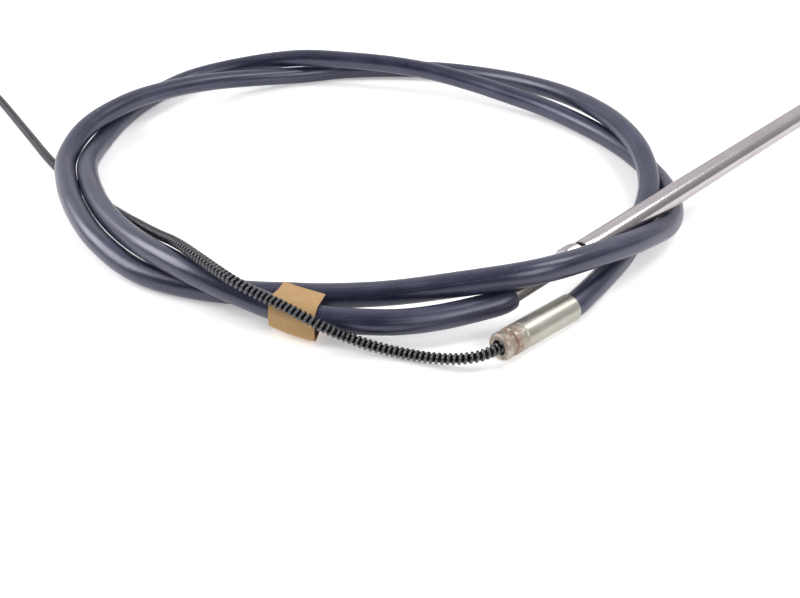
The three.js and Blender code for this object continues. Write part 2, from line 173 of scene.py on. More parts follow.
# %% The jacket's centreline
stations = np.array(COIL_STATIONS, float)
turned_by = -np.radians(stations[:, 0])
coil_points = np.stack([
    stations[:, 1] * np.cos(turned_by),
    stations[:, 1] * np.sin(turned_by),
    stations[:, 2],
], axis=1)
knots = np.vstack([
    RAM_START,
    RAM_START - 6 * RAM_DIRECTION,
    coil_points,
    SLEEVE_REAR - 4 * SLEEVE_DIRECTION,
    SLEEVE_REAR,
])
jacket_line = to_frame(np.vstack([
    through(knots),
    SLEEVE_REAR + SLEEVE_SOCKET * SLEEVE_DIRECTION,
]))
jacket_length = metres_along(jacket_line)[-1]
print("jacket centreline:", round(jacket_length, 3), "m")

# %% [markdown]
# ## The route of the bare core
#
# The core leaves the sleeve's mouth, touches the floor, climbs over the two taped strands,
# drops inside the coil and slips out on the floor under both turns at the left. It is springy
# wire, so its bends are wide. It starts a little inside the mouth, where it shows in the bore.

# %% The core's centreline
CORE_STATIONS = [
    # out of the mouth and down to the floor
    [82.4, -244.9, 8.7], [74.8, -247.9, 7.9], [63.5, -248.3, 6.4], [47.6, -245.2, 4.9],
    [30.0, -239.4, 4.2], [12.2, -235.8, 7.0],
    # up over the taped strands, and resting on the inner strand
    [-2.6, -233.0, 11.5], [-12.6, -232.6, 16.5], [-22.0, -230.8, 21.0],
    [-31.5, -227.4, 24.6], [-41.1, -223.0, 27.4], [-50.8, -218.7, 30.0],
    [-58.8, -215.8, 32.8], [-64.6, -213.3, 34.8], [-70.6, -210.0, 36.4],
    [-76.8, -204.8, 37.2], [-83.3, -198.3, 37.5], [-89.7, -191.4, 37.5],
    [-96.3, -184.1, 37.2], [-103.7, -175.2, 36.4], [-111.4, -165.1, 34.4],
    [-119.9, -153.1, 30.7], [-128.7, -141.0, 26.4], [-140.2, -125.2, 21.2],
    # down inside the coil to the floor, and out under both turns
    [-153.4, -106.7, 15.6], [-169.3, -85.3, 9.5], [-190.5, -60.0, 5.2],
    [-208.4, -41.2, 3.8], [-252.4, 11.3, 3.7], [-298.0, 77.3, 3.7],
    [-351.3, 155.0, 3.9], [-396.0, 216.0, 4.9],
]
CORE_INSIDE_SLEEVE = 12.0
mouth = SLEEVE_REAR + SLEEVE_LENGTH * SLEEVE_DIRECTION
core_line = to_frame(np.vstack([
    mouth - CORE_INSIDE_SLEEVE * SLEEVE_DIRECTION,
    through(np.vstack([mouth, CORE_STATIONS])),
]))
core_length = metres_along(core_line)[-1]

# %% [markdown]
# ## A surface is a profile carried along a path
#
# Nearly everything on this object is round in section, so one function makes most of it. A ring
# of points stands square to the path at each step, and its radius may change from ring to ring
# and round the ring. All points are worked out as one array. Each point also keeps its place on
# the straightened piece, as the attribute `straight`: the distance along, and the place across
# and up. The materials read it, so a grain or a scratch follows every bend.

# %% Mesh helpers
def put_mesh(name, grid, straight, wrap_rings=False, cap_ends=True, sharp=35):
    """Mesh from a grid of rings by columns. Point (i, j) is joined to (i + 1, j) and
    (i, j + 1), and the columns close on themselves. The end rings are closed by flat faces,
    or joined to each other when wrap_rings is set."""
    rings, columns = grid.shape[:2]
    index = np.arange(rings * columns).reshape(rings, columns)
    lower = index if wrap_rings else index[:-1]
    upper = np.roll(index, -1, axis=0) if wrap_rings else index[1:]
    quads = np.stack([
        lower, upper, np.roll(upper, -1, axis=1), np.roll(lower, -1, axis=1),
    ], axis=-1).reshape(-1, 4)
    faces = quads.tolist()
    if cap_ends and not wrap_rings:
        faces.append(index[0].tolist())
        faces.append(index[-1][::-1].tolist())
    mesh = bpy.data.meshes.new(name)
    mesh.from_pydata(grid.reshape(-1, 3).tolist(), [], faces)
    place = mesh.attributes.new("straight", "FLOAT_VECTOR", "POINT")
    place.data.foreach_set("vector", straight.reshape(-1).astype(np.float32))
    mesh.shade_smooth()
    mesh.set_sharp_from_angle(angle=math.radians(sharp))
    made = bpy.data.objects.new(name, mesh)
    bpy.context.scene.collection.objects.link(made)
    print(name, len(mesh.vertices), "points,", len(quads) * 2, "triangles")
    return made


def carried(name, line, along, radii, columns, sharp=35, wrap_rings=False):
    """Rings square to a line, at the distances `along`. A ring's point at angle a is the
    line's point plus radius times (cos a sideways + sin a upwards). Sideways is level, and
    upwards is square to it and to the line, so the surface never twists."""
    centres = placed(line, along)
    run = metres_along(line)
    ahead = placed(line, np.minimum(along + 0.0015, run[-1]))
    behind = placed(line, np.maximum(along - 0.0015, 0))
    forward = ahead - behind
    forward /= np.linalg.norm(forward, axis=1)[:, None]
    sideways = np.cross(forward, [0.0, 0.0, 1.0])
    sideways /= np.linalg.norm(sideways, axis=1)[:, None]
    upwards = np.cross(sideways, forward)
    angle = -np.pi / 2 + np.arange(columns) / columns * 2 * np.pi
    radii = np.asarray(radii, float).reshape(len(along), -1)
    radii = np.broadcast_to(radii, (len(along), columns))
    across = radii * np.cos(angle)
    up = radii * np.sin(angle)
    grid = (
        centres[:, None, :]
        + across[..., None] * sideways[:, None, :]
        + up[..., None] * upwards[:, None, :]
    )
    straight = np.stack([np.broadcast_to(along[:, None], across.shape), across, up], axis=-1)
    return put_mesh(name, grid, straight, wrap_rings=wrap_rings, sharp=sharp)


def rod(start, direction, length):
    """A straight line of that length in millimetres, in the frame."""
    return to_frame(np.vstack([start, start + length * direction]))


def rounded(profile, radius=0.35, steps=3):
    """A closed profile of [radius, distance] corners, in millimetres, with every corner cut
    by a short curve. Each corner becomes points on a quadratic from one edge to the next."""
    corners = np.array(profile, float)
    before = np.roll(corners, 1, axis=0) - corners
    after = np.roll(corners, -1, axis=0) - corners
    short = np.minimum(np.linalg.norm(before, axis=1), np.linalg.norm(after, axis=1))
    cut = np.minimum(radius, 0.45 * short)[:, None]
    enter = corners + cut * before / np.linalg.norm(before, axis=1)[:, None]
    leave = corners + cut * after / np.linalg.norm(after, axis=1)[:, None]
    t = np.linspace(0, 1, steps)[None, :, None]
    curve = enter[:, None] * (1 - t)**2 + 2 * corners[:, None] * t * (1 - t) + leave[:, None] * t**2
    return curve.reshape(-1, 2)


# %% [markdown]
# ## Shared effects for the materials
#
# Three effects come back in several finishes, so each is built once as a node group. Streaks
# are long thin noise along the piece, as drawing and extrusion leave. Blotches are soft patches
# of handling, dust or stain. Scuffs are the few short scratches that catch the light.

# %% Node helpers
def link_all(tree, *pairs):
    """Joins each pair of sockets in the tree."""
    for source, target in pairs:
        tree.links.new(source, target)


def new_group(name, inputs, outputs):
    """An empty shader node group with the named number inputs and their default values."""
    group = bpy.data.node_groups.new(name, "ShaderNodeTree")
    for label, value in inputs.items():
        kind = "NodeSocketVector" if value is None else "NodeSocketFloat"
        socket = group.interface.new_socket(label, in_out="INPUT", socket_type=kind)
        if value is not None:
            socket.default_value = value
    for label in outputs:
        group.interface.new_socket(label, in_out="OUTPUT", socket_type="NodeSocketFloat")
    return group, group.nodes.new("NodeGroupInput"), group.nodes.new("NodeGroupOutput")


def math_node(tree, operation, first, second=None, clamp=False):
    """A Math node whose inputs are sockets or numbers."""
    node = tree.nodes.new("ShaderNodeMath")
    node.operation = operation
    node.use_clamp = clamp
    for slot, value in enumerate([first, second]):
        if value is None:
            continue
        if isinstance(value, (int, float)):
            node.inputs[slot].default_value = value
        else:
            tree.links.new(value, node.inputs[slot])
    return node.outputs[0]


def stretched(tree, place, x, y, z):
    """The place with its three parts multiplied by the given numbers."""
    node = tree.nodes.new("ShaderNodeVectorMath")
    node.operation = "MULTIPLY"
    node.inputs[1].default_value = (x, y, z)
    tree.links.new(place, node.inputs[0])
    return node.outputs[0]


def noise_node(tree, place, scale, detail=2.0, roughness=0.5):
    """A noise texture read at the given place."""
    node = tree.nodes.new("ShaderNodeTexNoise")
    node.inputs["Scale"].default_value = scale
    node.inputs["Detail"].default_value = detail
    node.inputs["Roughness"].default_value = roughness
    tree.links.new(place, node.inputs["Vector"])
    return node.outputs[0]


# %% The streak, blotch and scuff groups
streak_group, given, result = new_group(
    "streaks", {"Place": None, "Fineness": 900.0}, ["Streak"])
combine = streak_group.nodes.new("ShaderNodeVectorMath")
combine.operation = "MULTIPLY"
combine.inputs[1].default_value = (0.014, 1.0, 1.0)
scale_up = streak_group.nodes.new("ShaderNodeVectorMath")
scale_up.operation = "SCALE"
streak_noise = noise_node(streak_group, scale_up.outputs[0], 1.0, detail=3.0)
link_all(
    streak_group,
    (given.outputs["Place"], combine.inputs[0]),
    (combine.outputs[0], scale_up.inputs[0]),
    (given.outputs["Fineness"], scale_up.inputs["Scale"]),
    (streak_noise, result.inputs["Streak"]),
)

blotch_group, given, result = new_group(
    "blotches", {"Place": None, "Size": 40.0, "Edge": 4.0}, ["Blotch"])
scale_up = blotch_group.nodes.new("ShaderNodeVectorMath")
scale_up.operation = "SCALE"
blotch_noise = noise_node(blotch_group, scale_up.outputs[0], 1.0, detail=5.0, roughness=0.6)
centred = math_node(blotch_group, "SUBTRACT", blotch_noise, 0.5)
steeper = math_node(blotch_group, "MULTIPLY", centred, given.outputs["Edge"])
patch = math_node(blotch_group, "ADD", steeper, 0.5, clamp=True)
link_all(
    blotch_group,
    (given.outputs["Place"], scale_up.inputs[0]),
    (given.outputs["Size"], scale_up.inputs["Scale"]),
    (patch, result.inputs["Blotch"]),
)

scuff_group, given, result = new_group(
    "scuffs", {"Place": None, "Length": 60.0, "Amount": 0.64}, ["Scuff"])
turned_place = scuff_group.nodes.new("ShaderNodeVectorRotate")
turned_place.inputs["Axis"].default_value = (0.2, 0.3, 1.0)
turned_place.inputs["Angle"].default_value = 0.35
scale_up = scuff_group.nodes.new("ShaderNodeVectorMath")
scale_up.operation = "SCALE"
thin = stretched(scuff_group, scale_up.outputs[0], 1.0, 22.0, 22.0)
scuff_noise = noise_node(scuff_group, thin, 1.0, detail=2.0)
over = math_node(scuff_group, "SUBTRACT", scuff_noise, given.outputs["Amount"])
scuff = math_node(scuff_group, "MULTIPLY", over, 14.0, clamp=True)
link_all(
    scuff_group,
    (given.outputs["Place"], turned_place.inputs["Vector"]),
    (turned_place.outputs[0], scale_up.inputs[0]),
    (given.outputs["Length"], scale_up.inputs["Scale"]),
    (scuff, result.inputs["Scuff"]),
)
print("groups:", [group.name for group in bpy.data.node_groups])


# %% Material helpers
def new_finish(name, colour, roughness, metallic=0.0, specular=0.5):
    """A material with a Principled shader and the straightened place read from the mesh."""
    material = bpy.data.materials.new(name)
    material.use_nodes = True
    tree = material.node_tree
    shader = tree.nodes["Principled BSDF"]
    shader.inputs["Base Color"].default_value = (*colour, 1.0)
    shader.inputs["Roughness"].default_value = roughness
    shader.inputs["Metallic"].default_value = metallic
    shader.inputs["Specular IOR Level"].default_value = specular
    attribute = tree.nodes.new("ShaderNodeAttribute")
    attribute.attribute_name = "straight"
    return material, tree, shader, attribute.outputs["Vector"]


def effect(tree, group, place, **values):
    """The output of a shared effect at that place, with its own values."""
    node = tree.nodes.new("ShaderNodeGroup")
    node.node_tree = group
    tree.links.new(place, node.inputs["Place"])
    for label, value in values.items():
        node.inputs[label].default_value = value
    return node.outputs[0]


def mixed(tree, mask, first, second):
    """A colour that goes from the first to the second as the mask goes from 0 to 1."""
    node = tree.nodes.new("ShaderNodeMix")
    node.data_type = "RGBA"
    tree.links.new(mask, node.inputs["Factor"])
    for slot, value in ((6, first), (7, second)):
        if isinstance(value, tuple):
            node.inputs[slot].default_value = (*value, 1.0)
        else:
            tree.links.new(value, node.inputs[slot])
    return node.outputs[2]


def ranged(tree, value, low, high):
    """A number that goes from low to high as the value goes from 0 to 1."""
    node = tree.nodes.new("ShaderNodeMapRange")
    node.inputs["To Min"].default_value = low
    node.inputs["To Max"].default_value = high
    tree.links.new(value, node.inputs["Value"])
    return node.outputs[0]


def bumped(tree, shader, height, depth, strength=1.0):
    """A bump of that depth in metres on the shader's normal."""
    node = tree.nodes.new("ShaderNodeBump")
    node.inputs["Strength"].default_value = strength
    node.inputs["Distance"].default_value = depth
    tree.links.new(height, node.inputs["Height"])
    tree.links.new(node.outputs[0], shader.inputs["Normal"])
    return node


# %% [markdown]
# ## The jacket's plastic
#
# The jacket is extruded blue-grey plastic with a satin skin. The extruder leaves faint lines
# along it. Handling leaves lighter, duller patches, and being dragged over a deck leaves
# scuffs. The lighter lines in those patches are also painted highlight: pale streaks painted into
# the colour where the gloss breaks up along the jacket. The rest of the colour is kept dark,
# because its pale look in the light is gloss. A slightly lilac specular tint gives that gloss its cast.

# %% Jacket plastic
jacket_finish, tree, shader, place = new_finish(
    "satin_blue_grey_plastic", (0.02, 0.022, 0.036), 0.34, specular=0.85)
shader.inputs["Specular Tint"].default_value = (0.86, 0.84, 1.0, 1.0)
lines = effect(tree, streak_group, place, Fineness=1100.0)
patches = effect(tree, blotch_group, place, Size=28.0, Edge=2.6)
marks = effect(tree, scuff_group, place, Length=70.0, Amount=0.66)
base = mixed(tree, patches, (0.01, 0.013, 0.032), (0.024, 0.027, 0.056))
clear_lines = math_node(tree, "MULTIPLY", math_node(tree, "SUBTRACT", lines, 0.5), 5.0, clamp=True)
# The lighter line colour is partly handling wear and partly painted highlight streaks along the jacket.
handled_and_painted_sheen = math_node(tree, "MULTIPLY", clear_lines, ranged(tree, patches, 0.25, 1.0))
lined_with_painted_sheen = mixed(tree, math_node(tree, "MULTIPLY", handled_and_painted_sheen, 0.5), base, (0.11, 0.112, 0.155))
worn = mixed(tree, math_node(tree, "MULTIPLY", marks, 0.5), lined_with_painted_sheen, (0.16, 0.16, 0.2))
tree.links.new(worn, shader.inputs["Base Color"])
dull = math_node(tree, "ADD", ranged(tree, patches, 0.27, 0.38), math_node(tree, "MULTIPLY", handled_and_painted_sheen, 0.14))
tree.links.new(dull, shader.inputs["Roughness"])
skin = math_node(tree, "ADD", math_node(tree, "MULTIPLY", lines, 0.8), noise_node(tree, place, 420.0, 2.0))
bumped(tree, shader, skin, 0.00008, 0.7)
print("made", jacket_finish.name)

# %% [markdown]
# ## The jacket
#
# A cut end has a small rounded edge and shows the bore. The profile therefore starts a little
# way inside the bore, comes out over the end, runs the whole length and goes in again.

# %% Jacket
JACKET_RADIUS = 0.008
BORE_RADIUS = 0.0056
EDGE = 0.0006
BORE_SHOWN = 0.006
JACKET_RINGS = 900
JACKET_COLUMNS = 32
body_steps = np.linspace(EDGE, jacket_length - EDGE, JACKET_RINGS)
end_along = np.array([BORE_SHOWN, EDGE, 0.0, 0.0, EDGE * 0.3])
end_radius = np.array([
    BORE_RADIUS, BORE_RADIUS, BORE_RADIUS + 0.0002,
    JACKET_RADIUS - EDGE, JACKET_RADIUS - EDGE * 0.3,
])
jacket_along = np.concatenate([end_along, body_steps, jacket_length - end_along[::-1]])
jacket_radius = np.concatenate([end_radius, np.full(JACKET_RINGS, JACKET_RADIUS), end_radius[::-1]])
jacket = carried("jacket_cover", jacket_line, jacket_along, jacket_radius, JACKET_COLUMNS)
jacket.data.materials.append(jacket_finish)

# %% [markdown]
# ## The wound core
#
# The core is a wire rope with one strong wire wound round it in an open right-handed screw,
# which the helm's wheel grips like a rack. The radius at distance s and angle a is the larger
# of the rope's radius, with its small strands, and the round back of the winding wire, whose
# middle passes s when s divided by the pitch minus a turn's share is a whole number.

# %% Core wire finish
core_finish, tree, shader, place = new_finish("oiled_black_wire", (0.03, 0.03, 0.033), 0.3, 1.0)
drawn = effect(tree, streak_group, place, Fineness=2600.0)
oily = effect(tree, blotch_group, place, Size=160.0, Edge=3.0)
depth = tree.nodes.new("ShaderNodeAttribute")
depth.attribute_name = "height"
# Painted light: the winding's crests are painted lighter as glints and the grooves between windings near
# black as shade, broken up by the drawn streaks.
painted_crest_glint_and_groove_shade = math_node(tree, "MULTIPLY", depth.outputs["Fac"], ranged(tree, drawn, 0.3, 1.1), clamp=True)
tree.links.new(mixed(tree, painted_crest_glint_and_groove_shade, (0.007, 0.007, 0.008), (0.19, 0.19, 0.2)), shader.inputs["Base Color"])
tree.links.new(ranged(tree, oily, 0.24, 0.42), shader.inputs["Roughness"])
bumped(tree, shader, drawn, 0.00004, 0.5)

# %% Core
WINDING_PITCH = 0.0033
WINDING_WIRE = 0.00098
WINDING_MIDDLE = 0.00262
ROPE_RADIUS = 0.0023
STRANDS = 11
CORE_COLUMNS = 22
RINGS_PER_TURN = 13
core_along = np.arange(0, core_length, WINDING_PITCH / RINGS_PER_TURN)
turn = np.arange(CORE_COLUMNS) / CORE_COLUMNS
phase = (core_along[:, None] / WINDING_PITCH - turn[None, :]) % 1.0
off_wire = np.abs(phase - 0.5) * WINDING_PITCH
wire_back = WINDING_MIDDLE + np.sqrt(np.maximum(WINDING_WIRE**2 - off_wire**2, 0))
strand_wave = 0.00007 * np.cos(2 * np.pi * (STRANDS * turn[None, :] + core_along[:, None] / 0.012))
rope = ROPE_RADIUS + strand_wave
core_radius = np.where(off_wire < WINDING_WIRE, np.maximum(wire_back, rope), rope)
core = carried("core_wire", core_line, core_along, core_radius, CORE_COLUMNS, sharp=60)
height = core.data.attributes.new("height", "FLOAT", "POINT")
lift = (core_radius - ROPE_RADIUS) / (WINDING_MIDDLE + WINDING_WIRE - ROPE_RADIUS)
height.data.foreach_set("value", np.clip(lift, 0, 1).reshape(-1).astype(np.float32))
core.data.materials.append(core_finish)

# %% [markdown]
# ## Bright steel
#
# The guide tube, its collar and the ram tube are ground stainless steel. Grinding leaves very
# fine lines round the tube, and handling leaves a faint pinkish bloom. The grain changes the
# roughness and the bump a little, and the colour hardly at all. The guide tube's copy is rougher,
# and its colour is painted darker as shade, for the shadow it lies in, so one function makes both
# finishes. The specular tint keeps the edges of a tube from shining like a mirror.

# %% Stainless finishes
def ground_steel(name, darker, lighter, smooth, rough):
    """Ground steel whose colour drifts from the darker to the lighter in soft patches, and
    whose roughness goes from smooth to rough with the grain. Scratches add to it."""
    finish, tree, shader, place = new_finish(name, lighter, smooth, 1.0)
    shader.inputs["Specular Tint"].default_value = (0.62, 0.6, 0.6, 1.0)
    grain = noise_node(tree, stretched(tree, place, 5200.0, 60.0, 60.0), 1.0, 3.0)
    bloom = effect(tree, blotch_group, place, Size=34.0, Edge=2.2)
    scratches = effect(tree, scuff_group, place, Length=80.0, Amount=0.66)
    tree.links.new(mixed(tree, bloom, darker, lighter), shader.inputs["Base Color"])
    worn = math_node(tree, "MULTIPLY", scratches, 0.15)
    uneven = ranged(tree, grain, smooth, rough)
    tree.links.new(math_node(tree, "ADD", uneven, worn), shader.inputs["Roughness"])
    bumped(tree, shader, grain, 0.00001, 0.15)
    print("made", finish.name)
    return finish


steel_finish = ground_steel("ground_stainless", (0.5, 0.46, 0.472), (0.6, 0.555, 0.565), 0.18, 0.26)
# The guide tube's darker colours are painted shade on the same stainless steel as the ram.
guide_steel_with_painted_shade = ground_steel("stainless_with_painted_shade", (0.2, 0.19, 0.18), (0.33, 0.31, 0.3), 0.28, 0.42)

# %% [markdown]
# ## The guide tube and its collar
#
# The guide tube is butted to the jacket's end. A six-sided collar sits on it in front of the
# ram's mouth, with its corners turned off by a cone at both ends. The collar's radius at angle
# a is the smaller of the hexagon's and the cone's, so both meet in the curved edge of a nut.

# %% Guide tube
GUIDE_RADIUS = 5.4625
GUIDE_BORE = 4.3125
GUIDE_LENGTH = 322.0
guide_profile = rounded([
    [GUIDE_BORE, 0], [GUIDE_RADIUS, 0], [GUIDE_RADIUS, GUIDE_LENGTH], [GUIDE_BORE, GUIDE_LENGTH],
])
guide_line = rod(RAM_START + 0.3 * RAM_DIRECTION, RAM_DIRECTION, GUIDE_LENGTH)
guide = carried(
    "guide_sleeve", guide_line, guide_profile[:, 1] * MM, guide_profile[:, 0] * MM, 64, wrap_rings=True)
guide.data.materials.append(guide_steel_with_painted_shade)

# %% Collar
COLLAR_FLATS = 17.0
COLLAR_LENGTH = 14.0
COLLAR_PLACE = 51.0
COLLAR_COLUMNS = 96
collar_angle = -np.pi / 2 + np.arange(COLLAR_COLUMNS) / COLLAR_COLUMNS * 2 * np.pi
nearest_flat = (collar_angle + np.pi / 6) % (np.pi / 3) - np.pi / 6
hexagon = COLLAR_FLATS / 2 / np.cos(nearest_flat)
collar_along = np.concatenate([
    [0.3, 0.0], np.linspace(0, 2.2, 9),
    np.linspace(COLLAR_LENGTH - 2.2, COLLAR_LENGTH, 9), [COLLAR_LENGTH, COLLAR_LENGTH - 0.3],
])
cone = COLLAR_FLATS / 2 - 0.35 + 0.62 * np.minimum(collar_along, COLLAR_LENGTH - collar_along)
collar_radius = np.minimum(hexagon[None, :], cone[:, None])
collar_radius[[0, -1]] = 5.83
collar_radius[[1, -2]] = 6.1
collar_line = rod(RAM_START + COLLAR_PLACE * RAM_DIRECTION, RAM_DIRECTION, COLLAR_LENGTH)
collar = carried(
    "collar_nut", collar_line, collar_along * MM, collar_radius * MM, COLLAR_COLUMNS,
    sharp=22, wrap_rings=True)
collar.data.materials.append(steel_finish)

# %% [markdown]
# ## The ram tube
#
# The ram is a tube pressed flat at its far end, with a bolt hole for the engine's link arm. Its
# rings go from a circle to a rectangle with cut corners over the taper, and the last rings
# narrow to a half round. The inside of the tube is part of the same surface. The hole is cut by
# a cylinder, since a hole across a grid of rings has no place in the grid.

# %% Ram tube
MOUTH_FROM_JACKET = 68.5
RAM_RADIUS = 7.95
RAM_BORE = 5.9625
RAM_LENGTH = 284.0
TAPER = 16.0
FLAT = 27.0
EYE_HALF_WIDTH = 10.6
EYE_HALF_THICK = 4.75
SEAT_RADIUS = 7.1
SEAT_DEPTH = 6.0
RAM_COLUMNS = 72
eye_middle = RAM_LENGTH + TAPER + FLAT - EYE_HALF_WIDTH

share = np.linspace(0, 1, 15)
end_turn = np.radians(np.linspace(0, 86, 15))
bore_along = np.array([RAM_LENGTH - 4.0, SEAT_DEPTH, SEAT_DEPTH, 0.4, 0.0])
bore_radius = np.array([RAM_BORE, RAM_BORE, SEAT_RADIUS, SEAT_RADIUS, SEAT_RADIUS + 0.3])
skin_along = np.concatenate([
    [0.0, 0.12, 0.35], np.linspace(12, RAM_LENGTH, 24), RAM_LENGTH + share[1:] * TAPER,
    eye_middle + EYE_HALF_WIDTH * np.sin(end_turn),
])
skin_flat = np.concatenate([np.zeros(27), (3 * share**2 - 2 * share**3)[1:], np.ones(15)])
skin_narrow = np.concatenate([np.ones(27 + 14), np.cos(end_turn)])
skin_round = np.concatenate([[RAM_RADIUS - 0.35, RAM_RADIUS - 0.1], np.full(54, RAM_RADIUS)])
ram_along = np.concatenate([bore_along, skin_along])
flatness = np.concatenate([np.zeros(5), skin_flat])[:, None]
narrow = np.concatenate([np.ones(5), skin_narrow])[:, None]
circle = np.concatenate([bore_radius, skin_round])[:, None]

ring_angle = (-np.pi / 2 + np.arange(RAM_COLUMNS) / RAM_COLUMNS * 2 * np.pi)[None, :]
flat_across = EYE_HALF_WIDTH * np.clip(1.12 * np.cos(ring_angle), -1, 1)
flat_up = EYE_HALF_THICK * np.clip(1.45 * np.sin(ring_angle), -1, 1)
across = (circle * np.cos(ring_angle) * (1 - flatness) + flat_across * flatness) * narrow
up = circle * np.sin(ring_angle) * (1 - flatness) + flat_up * flatness
straight = np.stack([np.broadcast_to(ram_along[:, None], across.shape), across, up], axis=-1)

ram_side = np.cross(RAM_DIRECTION, [0, 0, 1])
ram_side /= np.linalg.norm(ram_side)
ram_up = np.cross(ram_side, RAM_DIRECTION)
ram_axes = np.stack([RAM_DIRECTION, ram_side, ram_up])
ram_mouth = RAM_START + MOUTH_FROM_JACKET * RAM_DIRECTION
ram_grid = to_frame(ram_mouth + straight @ ram_axes)
ram = put_mesh("ram_shell", ram_grid, straight * MM, sharp=28)

# %% The bolt hole
hole_angle = np.arange(64) / 64 * 2 * np.pi
HOLE_EDGES = np.array([[8.0, 8.0], [5.4, 5.4], [4.8, 4.4], [4.8, -4.4], [5.4, -5.4], [8.0, -8.0]])
hole_ring = np.stack([
    eye_middle + HOLE_EDGES[:, :1] * np.cos(hole_angle) * [[0.6], [1], [1], [1], [1], [0.6]],
    HOLE_EDGES[:, :1] * np.sin(hole_angle) * [[0.6], [1], [1], [1], [1], [0.6]],
    np.broadcast_to(HOLE_EDGES[:, 1:], (6, 64)),
], axis=-1)
cutter = put_mesh("hole_cutter", to_frame(ram_mouth + hole_ring @ ram_axes), hole_ring * MM)
cut = ram.modifiers.new("bolt_hole", "BOOLEAN")
cut.operation = "DIFFERENCE"
cut.solver = "EXACT"
cut.object = cutter
bpy.context.view_layer.update()
drilled = bpy.data.meshes.new_from_object(ram.evaluated_get(bpy.context.evaluated_depsgraph_get()))
ram.modifiers.clear()
ram.data = drilled
bpy.data.objects.remove(cutter)

coordinates = np.empty(len(drilled.vertices) * 3, np.float32)
drilled.vertices.foreach_get("co", coordinates)
local = (coordinates.reshape(-1, 3) / MM - MIDDLE - ram_mouth) @ ram_axes.T
if "straight" not in drilled.attributes:
    drilled.attributes.new("straight", "FLOAT_VECTOR", "POINT")
drilled.attributes["straight"].data.foreach_set("vector", (local * MM).reshape(-1).astype(np.float32))
drilled.shade_smooth()
drilled.set_sharp_from_angle(angle=math.radians(28))
drilled.materials.clear()
drilled.materials.append(steel_finish)
print("ram drilled:", len(drilled.vertices), "points")

# %% [markdown]
# ## The wiper
#
# A black rubber ring sits in the ram's mouth and wipes salt off the guide tube. It stands just
# inside the mouth, with a soft rounded lip.

# %% Wiper
rubber_finish, tree, shader, place = new_finish("black_seal_rubber", (0.012, 0.012, 0.013), 0.55)
dusty = effect(tree, blotch_group, place, Size=260.0, Edge=3.0)
tree.links.new(mixed(tree, dusty, (0.01, 0.01, 0.011), (0.03, 0.03, 0.031)), shader.inputs["Base Color"])
tree.links.new(ranged(tree, dusty, 0.45, 0.7), shader.inputs["Roughness"])
bumped(tree, shader, noise_node(tree, place, 2500.0), 0.00003, 0.5)
wiper_profile = rounded([[5.6, 0.2], [6.9, 0], [7.05, 0.6], [7.05, 5], [5.82, 5], [5.6, 2.4]], 0.5, 4)
wiper_line = rod(ram_mouth + 0.3 * RAM_DIRECTION, RAM_DIRECTION, 6)
wiper = carried(
    "wiper_lip", wiper_line, wiper_profile[:, 1] * MM, wiper_profile[:, 0] * MM, 64, wrap_rings=True)
wiper.data.materials.append(rubber_finish)

# %% [markdown]
# ## The helm sleeve
#
# A nickel-plated steel sleeve is crimped over the jacket's end. It has a shallow ring, a groove
# that the helm's housing locks into, and a turned nose. Six small punched dimples behind the
# groove hold it on the conduit. The dimples are pushed in by a bell curve of the distance from
# each one. Rust has crept out of the groove and of the dimples.

# %% Nickel finish
nickel_finish, tree, shader, place = new_finish("stained_nickel", (0.6, 0.585, 0.52), 0.32, 1.0)
parts = tree.nodes.new("ShaderNodeSeparateXYZ")
tree.links.new(place, parts.inputs[0])
cloudy = effect(tree, blotch_group, place, Size=90.0, Edge=2.4)
fine_lines = effect(tree, streak_group, place, Fineness=1600.0)
near_groove = math_node(tree, "ABSOLUTE", math_node(tree, "SUBTRACT", parts.outputs["X"], 0.0565))
close = math_node(tree, "SUBTRACT", 1.0, math_node(tree, "MULTIPLY", near_groove, 75.0), clamp=True)
rusty = effect(tree, blotch_group, place, Size=300.0, Edge=3.0)
rust = math_node(tree, "MULTIPLY", math_node(tree, "MULTIPLY", close, rusty), 1.5, clamp=True)
plate = mixed(tree, cloudy, (0.42, 0.4, 0.345), (0.53, 0.51, 0.45))
tree.links.new(mixed(tree, rust, plate, (0.3, 0.19, 0.14)), shader.inputs["Base Color"])
clouded = ranged(tree, cloudy, 0.36, 0.46)
worn_plate = math_node(tree, "ADD", clouded, math_node(tree, "MULTIPLY", rust, 0.35))
tree.links.new(worn_plate, shader.inputs["Roughness"])
bare_metal = math_node(tree, "SUBTRACT", 1.0, math_node(tree, "MULTIPLY", rust, 0.7))
tree.links.new(bare_metal, shader.inputs["Metallic"])
bumped(tree, shader, math_node(tree, "ADD", fine_lines, rusty), 0.00004, 0.4)

# %% Helm sleeve
SLEEVE_RADIUS = 8.95
SLEEVE_PROFILE = [
    [8.4, 0], [8.85, 0], [8.95, 0.8], [8.95, 46.0], [8.55, 46.6], [8.55, 47.6], [8.95, 48.2],
    [8.95, 55.0], [7.65, 55.8], [7.65, 58.0], [8.65, 58.8], [8.65, 62.6], [7.75, 64.0],
    [5.1, 64.0], [4.7, 63.6], [4.7, 52.0], [4.3, 51.5], [4.3, 51.0], [8.4, 51.0],
]
DIMPLE_PLACE = 51.6
DIMPLES = 6
DIMPLE_DEPTH = 0.42
DIMPLE_WIDTH = 1.0
SLEEVE_COLUMNS = 120
sleeve_profile = rounded(SLEEVE_PROFILE, 0.3, 4)
rows = np.linspace(48.8, 54.4, 15)
on_skin = sleeve_profile[:, 0] > 8.9
behind_rows = (sleeve_profile[:, 1] > 48.2) & (sleeve_profile[:, 1] < rows[0])
outer_row = np.flatnonzero(on_skin & behind_rows)[-1]
dimple_rows = np.stack([np.full(len(rows), SLEEVE_RADIUS), rows], axis=1)
sleeve_profile = np.insert(sleeve_profile, [outer_row + 1], dimple_rows, axis=0)
sleeve_angle = -np.pi / 2 + np.arange(SLEEVE_COLUMNS) / SLEEVE_COLUMNS * 2 * np.pi
